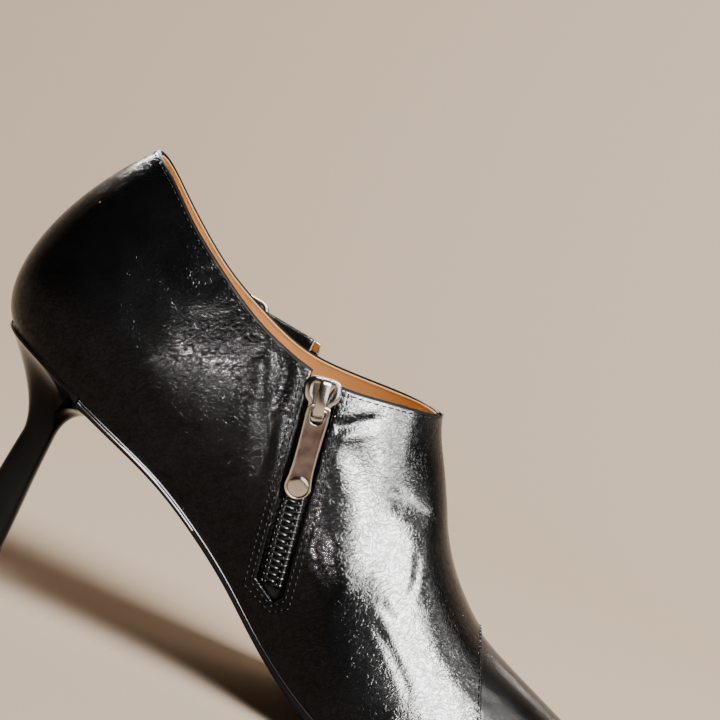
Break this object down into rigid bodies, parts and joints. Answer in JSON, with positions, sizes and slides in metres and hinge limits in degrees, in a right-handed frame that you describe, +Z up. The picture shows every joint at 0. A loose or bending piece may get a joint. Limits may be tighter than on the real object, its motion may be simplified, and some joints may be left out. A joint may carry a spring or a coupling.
{
  "type": "stiletto ankle bootie",
  "caption": "Women's left ankle bootie in glossy black leather on a slim hourglass heel, with a medial side zip, a lateral strap and buckle, and an open collar.",
  "frame": {"origin": "middle of the heel tip's floor face", "axes": "+X from heel to toe, +Y to the outer (lateral) side, +Z up from the floor"},
  "size_m": [0.2429, 0.0792, 0.1345],
  "materials": {
    "black_leather": "glossy black waxed leather with a fine crackle",
    "sole_black": "black sole, satin, with a polished edge",
    "heel_gloss": "smooth gloss black",
    "lift_rubber": "matt black top lift",
    "tan_lining": "tan lining leather",
    "tape_black": "woven black zip tape",
    "teeth_black": "black zip teeth, satin",
    "nickel": "polished nickel"
  },
  "bodies": {
    "bootie": {"upper": "black_leather", "strap": "black_leather", "outsole": "sole_black", "heel": "heel_gloss", "heel_tip": "lift_rubber", "insole": "tan_lining", "zip_tape": "tape_black", "zip_teeth_rear": "teeth_black", "zip_teeth_front": "teeth_black", "zip_slider": "nickel", "strap_tip": "nickel", "buckle_frame": "nickel", "buckle_prong": "nickel"},
    "pull": {"zip_pull": "nickel"}
  },
  "joints": [
    {"name": "pull_flip", "type": "hinge", "parent": "bootie", "child": "pull", "pos_m": [0.07529, -0.03057, 0.08846], "axis": [-0.9821, -0.0927, -0.1637], "range_deg": [0, 130]}
  ]
}
